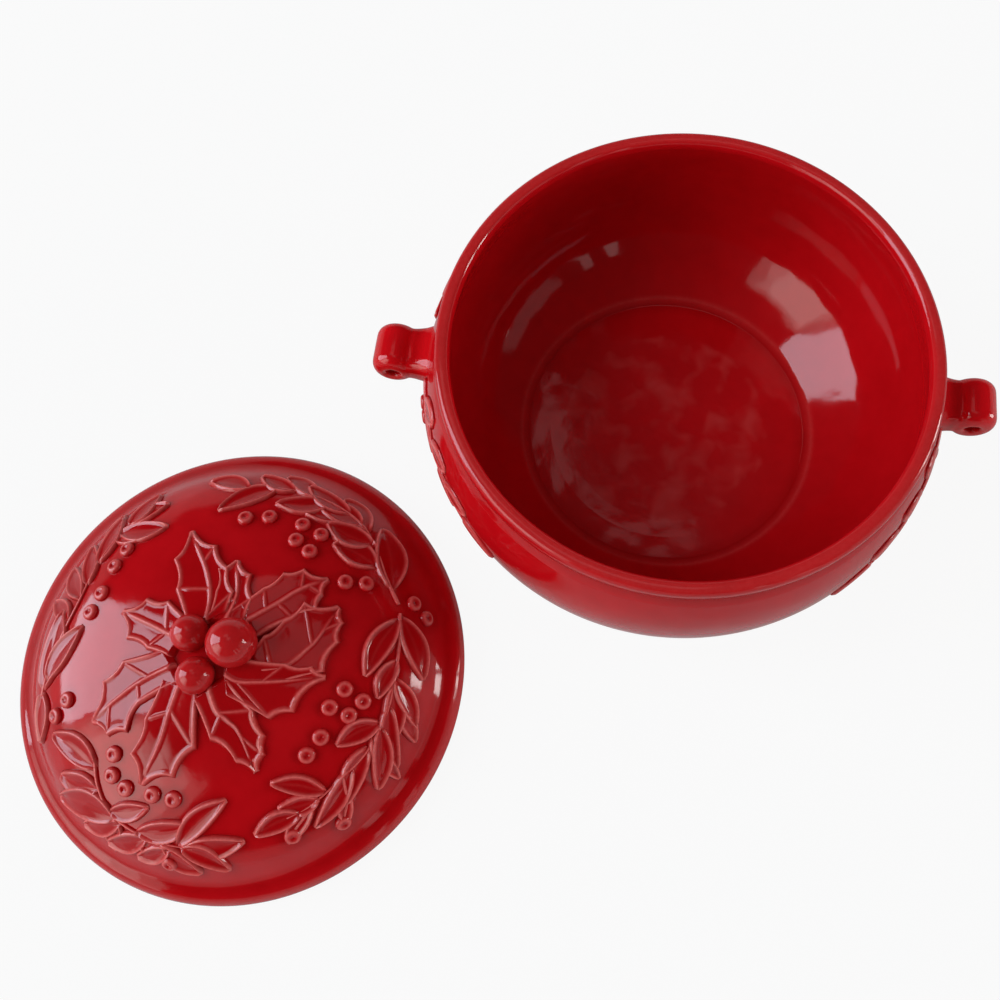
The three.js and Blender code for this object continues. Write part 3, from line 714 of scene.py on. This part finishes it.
# a leaf in rings: over the left blade, over the right, and back underneath
def leafBody(surface, rib, sides, relief, lift=0.0, cup=0.0, over=()):
    left, right = (leafHalf(rib, side, relief, lift, cup) for side in sides)
    rings, paint, dark = [], [], []
    for i in range(len(rib)):
        row = bladeRow(left, i, relief["skirt"])[::-1] + bladeRow(right, i, relief["skirt"])[1:]
        middle = (left["root"][i] + right["root"][i]) / 2
        # the middle underneath is painted darker too, as shade and glaze pooling
        row = np.array(row + [(*middle, -relief["sunk"], 0, 0.5)])
        # a leaf that lies over this one hides it
        for outline in over:
            cover = np.clip(depthInside(row, outline) / 0.6, 0, 1)
            row[:, 2] = np.minimum(row[:, 2], row[:, 2] * (1 - cover) - 0.15 * cover)
        rings.append(surface(row[:, 0], row[:, 1], row[:, 2]))
        paint.extend(row[:, 3])
        dark.extend(row[:, 4])
    return *lofted(rings), paint, dark


def stemBody(surface, line, look, taper=0.6):
    wide, tall, sunk = look["stemWide"], look["stemTall"], 0.5
    count = 10 * len(line)
    path = smoothLine(line, count)
    tangent = np.gradient(path, axis=0)
    tangent /= np.linalg.norm(tangent, axis=1)[:, None]
    normal = np.stack([-tangent[:, 1], tangent[:, 0]], -1)
    angles = np.radians(np.linspace(0, 180, 11))
    rings, paint = [], []
    for i in range(count):
        share = 1 - taper * i / (count - 1)
        half = wide / 2 * share
        w = np.concatenate([half * np.cos(angles), [-half, 0, half]])
        h = np.concatenate([tall * (0.5 + 0.5 * share) * np.sin(angles), [-sunk] * 3])
        place = path[i] + normal[i] * w[:, None]
        rings.append(surface(place[:, 0], place[:, 1], h))
        paint.extend(list(np.clip(np.sin(angles), 0, 1) ** 3) + [0, 0, 0])
    points, faces = lofted(rings)
    return points, faces, paint, np.zeros(len(points))


# a ball or a dimpled bead standing on the surface, from a profile about its upright
def standingBody(surface, place, profile, rounds):
    foot = surface(place[0], place[1], 0.0)
    up = surface(place[0], place[1], 1.0) - foot
    up = Vector(up / np.linalg.norm(up))
    points, faces = turned(profile, rounds)
    turn = np.array(Vector((0, 0, 1)).rotation_difference(up).to_matrix())
    return points @ turn.T + foot, faces, points


def beadProfile(radius, tall, dimple, sunk=0.6):
    crest = 0.5 * radius
    outer = [(0, -sunk), (radius * 0.98, -sunk), (radius, 0.0)]
    for k in range(1, 15):
        a = math.radians(90 * k / 14)
        outer.append((crest + (radius - crest) * math.cos(a), tall * math.sin(a) ** 0.85))
    hollow = []
    for k in range(1, 13):
        t = k / 12
        hollow.append((crest * (1 - t), tall - dimple * (0.5 - 0.5 * math.cos(math.pi * t))))
    return outer + hollow


def ballProfile(radius, sink, sunk=0.8):
    low = math.degrees(math.asin((sink - radius - sunk) / radius))
    return [(0, -sunk)] + arc(0, radius - sink, radius, radius, low, 90, 44)[:-1] + [(0, 2 * radius - sink)]


def beadBody(surface, place, look, rounds=36):
    radius, tall = look["berry"], look["berryTall"]
    points, faces, local = standingBody(surface, place, beadProfile(radius, tall, look["dimple"]), rounds)
    r, z = np.hypot(local[:, 0], local[:, 1]), local[:, 2]
    thin = 0.8 * np.exp(-((r - 0.66 * radius) / (0.2 * radius)) ** 2) * (z > 0.3 * tall)
    # painted shade and glaze pooling: darker in the dimple and round the foot
    poolAndShade = 0.5 * np.exp(-(r / (0.35 * radius)) ** 2) * (z > 0.3 * tall) + 0.3 * (z < 0.2 * tall)
    return points, faces, thin, poolAndShade


# the sprigs on the belly droop away from their handle; places in hundredths of the shoulder's height
bellySprig = {
    "unit": (bowl["crease"][1] - bowl["widest"][1]) / 100,
    "stem": [(47, 53), (110, 43), (176, 27.5), (243, 6)],
    "leaves": [
        (78, 48, 122, 69, 11.8), (133, 37.5, 184, 55, 11), (188, 24, 243, 36.5, 11),
        (98, 45.5, 137, 10, 12.5), (165, 30.5, 212, -6, 12.5), (235, 8.6, 298, -10, 11.8),
    ],
    "berries": [(68, 23), (84, 13)],
    "stemWide": 2.2, "stemTall": 0.7, "berry": 2.8, "berryTall": 1.5, "dimple": 0.25,
}


def buildBellySprigs():
    unit = bellySprig["unit"]
    for side, angle, frontward in (("Right", 0.0, -1), ("Left", math.pi, 1)):
        for end, direction in (("Front", frontward), ("Back", -frontward)):
            surface = onBelly(angle, direction)
            node = (end + "_" + side).lower()
            sprig = Gathered()
            sprig.add(*stemBody(surface, scaled(bellySprig["stem"], unit), bellySprig))
            for u0, v0, u1, v1, half in bellySprig["leaves"]:
                rib = smoothLine(scaled([(u0, v0), (u1, v1)], unit), bellyRelief["along"])
                sprig.add(*leafBody(surface, rib, lanceSides(rib, half * unit), bellyRelief))
            sprig.piece("bellySprig" + end + side, sprigGlaze, "bowl", "relief_glaze",
                        ["belly_sprig_" + node])
            pair = Gathered()
            for place in scaled(bellySprig["berries"], unit):
                pair.add(*beadBody(surface, place, bellySprig))
            pair.piece("bellyBerries" + end + side, berryGlaze, "bowl", "relief_glaze",
                       ["belly_berries_" + node])


buildBellySprigs()
print("belly sprigs laid")


# holly leaves round the knob, in mm: midrib, spines on its left and right, how far it lies over
hollyLeaves = {
    "1": ([(17, -4), (25, -1.5), (30.5, 4.5), (33.5, 9), (38, 20.5)],
          [(16.5, 7), (21.5, 13), (26.8, 20)], [(36.5, -1.5), (39.5, 8.5), (39.8, 15)], 0.3),
    "2": ([(6, -6), (11, -8.2), (17.5, -7.5), (26, -6), (38, -3)],
          [(25, -0.8), (33, -0.6)], [(22.5, -18), (29.5, -15)], 0.6),
    "3": ([(2, -10), (6, -17.5), (10, -20), (14.5, -23.5), (21.3, -35)],
          [(17.3, -16.3), (21.8, -23.4), (22.6, -29)], [(5.8, -26.3), (14.8, -32.2)], 0.45),
    "4": ([(-7, -10), (-9, -20), (-10.5, -30), (-15.2, -43.3)],
          [(0.8, -29.6), (-4.8, -39)], [(-16.5, -23), (-19.5, -34)], 0.3),
    "5": ([(-10, -5), (-20, -11), (-27, -17), (-36, -26)],
          [(-20, -18), (-22.5, -27), (-29, -29)], [(-28.5, -6), (-34, -13)], 0.15),
    "6": ([(-10, 3), (-22, 7), (-34, 10.5)],
          [(-21, -0.5), (-29, 2)], [(-18, 14.8), (-25.8, 15)], 0.2),
    "7": ([(-3, 9), (-4, 18.5), (-7.5, 26.5), (-12.5, 33.5), (-18.3, 41)],
          [(-16, 19.6), (-20, 29.8)], [(3, 20.5), (-1, 28.5), (-7.6, 35.8)], 0.4),
    "8": ([(9, 11), (18, 18.5), (24, 24), (32.5, 29.6)],
          [(12.7, 23), (17.8, 29), (24, 31.3)], [(24, 14.5), (31, 18.3), (31.4, 24)], 0.2),
    "9": ([(3, 10), (4.5, 20), (1, 32)],
          [(-2.5, 20.5), (-4, 28)], [(9.5, 19), (7, 27)], 0.1),
}


def buildHollyLeaves():
    outlines = []
    for number, (line, left, right, lift) in hollyLeaves.items():
        rib = smoothLine(line, hollyRelief["along"])
        sides = [spinySide(rib, left, 1), spinySide(rib, right, -1)]
        leaf = Gathered()
        leaf.add(*leafBody(onDome, rib, sides, hollyRelief, lift, hollyRelief["cup"]))
        leaf.piece("hollyLeaf" + number, leafGlaze, "lid", "relief_glaze", ["holly_leaf_" + number])
        outlines.extend(np.vstack([sides[0][1], sides[1][1]]))
    return outlines


# wreath sprigs, in hundredths of the dome's radius: stem, leaves (foot, tip, half-width), twigs, berries
wreath = {
    "upper": {
        "stem": [(77.2, 34.5), (69, 46.9), (62.1, 59.3), (52.4, 71.7), (38.6, 80), (22.1, 84.8),
                 (5.5, 85.5), (-6.9, 83.4)],
        "leaves": [
            (56, 69, 39, 86, 4.2), (66.5, 52, 50, 70, 3.8), (28, 83, 8, 93.5, 3.6),
            (48, 75.5, 24.5, 73.5, 3.4),
            (64.1, 51, 42.1, 59.3, 5.5), (60, 62.1, 36.6, 69.7, 5), (52.4, 71.7, 29, 78.9, 5),
            (35.9, 80.7, 9.7, 76.6, 4.4), (8.3, 85.5, -16.6, 69, 4.7), (45.5, 77.2, 20.7, 90.3, 3.9),
            (73.1, 41.4, 60.7, 73.1, 6), (16.6, 85.5, -4.1, 92.4, 3.6), (-5.5, 83.9, -29, 86.2, 4.1),
        ],
        "berries": [(-1.4, 66.2), (9.7, 68.3), (26.2, 66.5), (35.9, 62.6), (25.5, 57.9), (33.1, 53.1),
                    (52.4, 40.7), (61.5, 41.7)],
    },
    "right": {
        "stem": [(78.6, 30.3), (80.7, 16.6), (81.4, 0), (80, -16.6), (74.5, -33.1), (64.8, -46.9),
                 (53.8, -59.3), (44.1, -66.2)],
        "leaves": [
            (76, -27, 88, -44, 3.4), (63, -48.5, 68, -66, 3.4), (54, -59, 45, -77, 3.4),
            (81, -8, 93, -27, 3.4),
            (78.6, 27.6, 69, -1.4, 4.7), (79.3, 29, 93.1, 1.4, 4.4), (81.1, 8.3, 75.6, -10.3, 3.4),
            (81.4, -2.8, 82.8, -30.3, 3.9), (80.7, -12.4, 86.9, -39.3, 3.3), (81.4, 0, 92.4, -20, 3.3),
            (78.3, -20.7, 61.4, -33.1, 4.1), (78.6, -22.1, 80, -49.7, 3.6), (74.5, -31.7, 67.6, -57.9, 3.9),
            (69, -41.4, 55.9, -69, 3.3), (59.3, -53.1, 35.9, -52.4, 3.6), (56.6, -56.6, 40, -62.8, 3.6),
            (49.7, -63.4, 31, -75.2, 3.6),
        ],
        "twigs": [[(56.6, -56.6), (50.5, -66), (47.4, -71)], [(65.5, -46), (68, -55), (67.2, -63)]],
        "berries": [(83.4, 36.6), (89.7, 30.9), (61.4, -8.3), (69.8, -12.4), (56.3, -17.1), (64.8, -19.3),
                    (54.5, -30.3), (49.7, -38.6), (66.9, -65.5), (46.9, -73.4)],
    },
    "lower": {
        "stem": [(-45.5, -51), (-42.8, -62.1), (-35.9, -73.1), (-24.8, -79.3), (-11, -83), (4.1, -84.1)],
        "leaves": [
            (-33, -76, -33, -90, 4), (-24, -81, -8, -90, 3.6), (-12, -84, 8, -94, 3.4),
            (-30, -77.5, -52, -80, 3.8),
            (-44.1, -55.2, -71.7, -42.8, 5.2), (-42.1, -64.1, -64.8, -60, 4.7),
            (-33.1, -75.9, -67.6, -69.7, 5.8), (-16.6, -82.1, -38.6, -86.2, 3.9),
            (-22.1, -80, 4.1, -73.8, 4.1), (-2.8, -83.4, 17.9, -61.4, 4.1), (0, -84.1, 26.9, -77.9, 4.1),
            (-1.4, -84.1, 20.7, -91, 3.6), (-35.9, -73.1, -16.6, -68.7, 3.6),
            (-6, -85.5, -23, -90.5, 3.2),
        ],
        "twigs": [[(-11, -83), (-8.6, -87), (-7.2, -89.5)]],
        "berries": [(-35.9, -48.3), (-35.6, -57.4), (-28.4, -62.1), (-15.2, -63.2), (-5.5, -64),
                    (-6.9, -91.7)],
    },
    "left": {
        "stem": [(-82.8, -27.6), (-80.7, -11), (-76.6, 5.5), (-73.1, 19.3), (-71, 33.1), (-67.6, 46.9),
                 (-60.7, 59.3)],
        "leaves": [
            (-72, 26, -80, 48, 4), (-68, 45, -70, 66, 3.8), (-76, 8, -91, 18, 4), (-66, 50, -49, 51.5, 3.4),
            (-82.8, -24.8, -82, 14, 6.1), (-80.7, -20, -66.5, 6.5, 4.8), (-64.8, 53.8, -38.6, 58.6, 4.7),
            (-62.1, 57.9, -44.1, 71.7, 3.9), (-70.3, 37.2, -69, 64.1, 4.1), (-73.1, 19.3, -86.9, 35.9, 4.4),
            (-62.1, 57.9, -53.1, 77.9, 4.1), (-82.8, -24.8, -80, -48.3, 3.9),
        ],
        "berries": [(-55.9, 44.8), (-59.3, 35.9), (-61.4, 22.3), (-64.3, 13), (-65.5, -27.6), (-71, -35.2)],
    },
}
wreathLook = {
    "unit": lid["dome"] / 100, "stemWide": 1.4, "stemTall": 0.9, "twigTaper": 0.3,
    "leaf": 1.05, "bow": 0.05, "lift": 0.06, "berry": 2.85, "berryTall": 1.55, "dimple": 0.4,
}


# leaves bow to either side in turn, and each is hidden where a later one lies over it
def buildWreath():
    unit = wreathLook["unit"]
    ring = np.radians(np.arange(0, 360, 30))
    berryRing = wreathLook["berry"] * np.stack([np.cos(ring), np.sin(ring)], -1)
    outlines = []
    for side, sprig in wreath.items():
        title = side.capitalize()
        made = Gathered()
        made.add(*stemBody(onDome, scaled(sprig["stem"], unit), wreathLook))
        for twig in sprig.get("twigs", []):
            made.add(*stemBody(onDome, scaled(twig, unit), wreathLook, wreathLook["twigTaper"]))
        leaves, margins = [], []
        for n, (u0, v0, u1, v1, half) in enumerate(sprig["leaves"]):
            foot, tip = np.array((u0, v0)) * unit, np.array((u1, v1)) * unit
            across = np.array([foot[1] - tip[1], tip[0] - foot[0]])
            bow = across * wreathLook["bow"] * (1 if n % 2 else -1)
            rib = smoothLine([foot, (foot + tip) / 2 + bow, tip], lanceRelief["along"])
            sides = lanceSides(rib, half * unit * wreathLook["leaf"])
            leaves.append((rib, sides))
            margins.append(np.vstack([sides[0][1], sides[1][1][::-1]]))
            outlines.extend(margins[-1])
        for n, (rib, sides) in enumerate(leaves):
            lift = wreathLook["lift"] * (n % 3)
            made.add(*leafBody(onDome, rib, sides, lanceRelief, lift, over=margins[n + 1:]))
        made.piece("wreathSprig" + title, sprigGlaze, "lid", "relief_glaze", ["wreath_sprig_" + side])
        for n, place in enumerate(scaled(sprig["berries"], unit)):
            number = str(n + 1)
            berry = Gathered()
            berry.add(*beadBody(onDome, place, wreathLook))
            berry.piece("wreathBerry" + title + number, berryGlaze, "lid", "relief_glaze",
                        ["wreath_berry_" + side + "_" + number])
            outlines.extend(berryRing + np.array(place))
    return outlines


# the three berries of the knob: place in mm, radius, how deep it sits
knobBerries = {
    "Large": ((7.6, 3.6), 8.2, 3.6), "Upper": ((-7.6, 5.4), 6.2, 4.2), "Lower": ((-2.6, -7.8), 6.2, 4.2),
}


def buildKnob():
    for title, (place, radius, sink) in knobBerries.items():
        ball = Gathered()
        points, faces, local = standingBody(onDome, place, ballProfile(radius, sink), 72)
        # painted shade and glaze pooling: darker round the foot of each berry
        poolAndShade = 0.7 * np.exp(-(np.maximum(local[:, 2] - 1.5, 0) / 1.6) ** 2)
        ball.add(points, faces, 0.12 * np.ones(len(points)), poolAndShade)
        ball.piece("knobBerry" + title, knobGlaze, "lid", "glaze", ["knob_berry_" + title.lower()])


# painted shade and glaze pooling darken the dome beside the relief and in the cove, and the glaze thins on
# the edge
def buildLid(outlines):
    points, faces = turned(lidProfile(), lid["rounds"])
    tree = nearTree(outlines)
    poolAndShade, thin = np.zeros(len(points)), np.zeros(len(points))
    for i, (x, y, z) in enumerate(points):
        r = math.hypot(x, y)
        # painted shade and glaze pooling: darker near the outlines of the relief
        if z > lid["brim"] - 1 and r < lid["dome"] and z >= domeAt(r) - 0.5:
            poolAndShade[i] = 0.4 * math.exp(-(tree.find((x, y, 0))[2] / 2.0) ** 2)
        if r > lid["dome"] - 1 and z > lid["flangeTall"]:
            thin[i] = 0.3 * math.exp(-((r - lid["rim"] + 1.0) / 1.0) ** 2)
            poolAndShade[i] += 0.35 * math.exp(-((r - lid["flareEnd"][0]) / 1.8) ** 2)
    placed = points + np.array(lid["centre"])
    addPiece("lidShell", placed, outward(placed, faces), lidGlaze, "lid", ["lid_shell"],
             thin, poolAndShade)


edges = buildHollyLeaves()
print("holly leaves laid")
edges += buildWreath()
print("wreath laid")
buildKnob()
buildLid(edges)
print("lid turned")


# the table and the light, in metres
table = {"wide": 6.0, "colour": (0.56, 0.56, 0.56), "white": 0.92, "mirrored": 0.12}


def buildTable():
    half = table["wide"] / 2
    corners = [(-half, -half, 0), (half, -half, 0), (half, half, 0), (-half, half, 0)]
    mesh = bpy.data.meshes.new("tableTop")
    mesh.from_pydata(corners, [], [(0, 1, 2, 3)])
    top = bpy.data.objects.new("tableTop", mesh)
    bpy.context.scene.collection.objects.link(top)
    made = bpy.data.materials.new("tableWhite")
    made.use_nodes = True
    tree = made.node_tree
    tree.nodes.clear()
    matt = addNode(tree, "BsdfDiffuse", {"Color": (*table["colour"], 1)}).outputs["BSDF"]
    glow = addNode(tree, "Emission", {"Strength": 1.0}).outputs["Emission"]
    path = addNode(tree, "LightPath", {}).outputs
    # the white carries into reflections too, softer there
    mirrored = computed(tree, "MULTIPLY", path["Is Glossy Ray"], table["mirrored"])
    both = computed(tree, "MAXIMUM", path["Is Camera Ray"], mirrored)
    seen = computed(tree, "MAXIMUM", both, path["Is Transmission Ray"])
    share = computed(tree, "MULTIPLY", seen, table["white"])
    mix = addNode(tree, "MixShader", {"Fac": share, 1: matt, 2: glow})
    addNode(tree, "OutputMaterial", {"Surface": mix.outputs["Shader"]})
    mesh.materials.append(made)


tints = {
    "sky": (0.86, 0.96, 1.10), "cloth": (1.0, 0.95, 0.90), "paleCloth": (1.0, 0.96, 0.92),
    "plain": (1, 1, 1), "side": (1, 0.99, 0.97), "wall": (1, 0.97, 0.95), "fill": (1, 0.98, 0.96),
}
# windows and lamps: middle, size, what they face, radiance, tint
lamps = {
    "window": ((-2.4, -0.115, 2.13), (1.33, 3.42), (0, -0.115, 2.13), 4.7, "sky"),
    "curtain": ((-1.85, -1.53, 1.75), (1.84, 2.7), (0, 0, 1.75), 1.0, "cloth"),
    "curtainFold": ((-1.90, -1.45, 1.70), (1.4, 2.3), (0, 0, 1.70), 1.0, "cloth"),
    "curtainMiddle": ((-1.95, -1.35, 1.65), (1.0, 1.9), (0, 0, 1.65), 1.0, "paleCloth"),
    "ceiling": ((-0.45, 0.60, 1.9), (0.6, 0.5), (-0.45, 0.60, 0), 0.4, "plain"),
    "ceilingNear": ((0.02, 0.22, 1.9), (0.5, 0.5), (0.02, 0.22, 0), 0.34, "plain"),
    "sideLeaf": ((1.8, 0.10, 0.46), (0.19, 0.70), (0, 0.10, 0.46), 10.0, "side"),
    "sideRight": ((1.8, 0.36, 0.46), (0.19, 0.70), (0, 0.36, 0.46), 10.0, "side"),
    "farWall": ((1.95, -0.35, 0.95), (1.2, 0.95), (0, -0.1, 0.95), 0.3, "wall"),
    "farStrip": ((1.45, -1.25, 0.95), (0.22, 0.95), (0, 0, 0.95), 0.7, "wall"),
    "farDoor": ((1.12, -1.58, 0.95), (0.2, 0.95), (0, 0, 0.95), 0.9, "wall"),
}
# soft fill from the walls of the room, kept out of the reflections
fills = {
    "fillRight": ((2.0, 0.0, 0.55), (3.2, 0.76), (0, 0, 0.55), 1.5, "fill"),
    "fillFront": ((0.0, -2.0, 0.55), (3.2, 0.76), (0, 0, 0.55), 0.45, "fill"),
    "fillBack": ((0.0, 2.0, 0.55), (3.2, 0.76), (0, 0, 0.55), 1.35, "fill"),
    "fillAbove": ((-0.1, -0.2, 2.3), (2.2, 2.2), (-0.1, -0.2, 0), 0.5, "fill"),
}


def buildLamps(group, mirrored):
    for name, (place, size, face, glow, tint) in group.items():
        light = bpy.data.lights.new(name, "AREA")
        light.shape = "RECTANGLE"
        light.size, light.size_y = size
        light.energy = math.pi * glow * size[0] * size[1]
        light.color = tints[tint]
        shown = bpy.data.objects.new(name, light)
        shown.location = place
        away = Vector(face) - Vector(place)
        shown.rotation_euler = away.to_track_quat("-Z", "Y").to_euler()
        shown.visible_camera = False
        shown.visible_glossy = mirrored
        bpy.context.scene.collection.objects.link(shown)


# how bright the room is, by the sine of the angle above the table
roomLevels = {0.0: 0.42, 0.24: 0.33, 0.31: 0.02}


def buildRoom():
    world = bpy.data.worlds.new("room")
    bpy.context.scene.world = world
    world.use_nodes = True
    tree = world.node_tree
    tree.nodes.clear()
    place = addNode(tree, "TexCoord", {}).outputs["Generated"]
    split = addNode(tree, "SeparateXYZ", {"Vector": place})
    ramp = addNode(tree, "ValToRGB", {"Fac": split.outputs["Z"]})
    stops = ramp.color_ramp.elements
    stops.remove(stops[1])
    for high, level in roomLevels.items():
        stop = stops.new(high) if high else stops[0]
        stop.color = (level, level, level, 1)
    sky = addNode(tree, "Background", {"Color": ramp.outputs["Color"]})
    addNode(tree, "OutputWorld", {"Surface": sky.outputs["Background"]})


# the camera: place in mm, axes, lens and sensor in mm, what it clips in metres
viewpoint = {
    "at": (-23.7, -135.8, 333.9), "right": (0.99246, 0.11908, -0.02904), "up": (-0.10527, 0.94948, 0.29565),
    "forward": (-0.06278, 0.29037, -0.95485), "lens": 32.79, "sensor": 36, "shift": (-0.037, 0.0049),
    "clip": (0.01, 50),
}


def buildCamera():
    data = bpy.data.cameras.new("photoView")
    data.sensor_width = viewpoint["sensor"]
    data.lens = viewpoint["lens"]
    data.shift_x, data.shift_y = viewpoint["shift"]
    data.clip_start, data.clip_end = viewpoint["clip"]
    camera = bpy.data.objects.new("photoView", data)
    right, up, ahead = (Vector(viewpoint[k]) for k in ("right", "up", "forward"))
    turn = Matrix((right, up, -ahead)).transposed().to_4x4()
    turn.translation = Vector(viewpoint["at"]) * mm
    camera.matrix_world = turn
    bpy.context.scene.collection.objects.link(camera)
    bpy.context.scene.camera = camera


buildTable()
buildLamps(lamps, True)
buildLamps(fills, False)
buildRoom()
buildCamera()
bpy.context.scene.view_settings.view_transform = "Standard"
print("table, lamps and camera set")

bpy.context.view_layer.update()
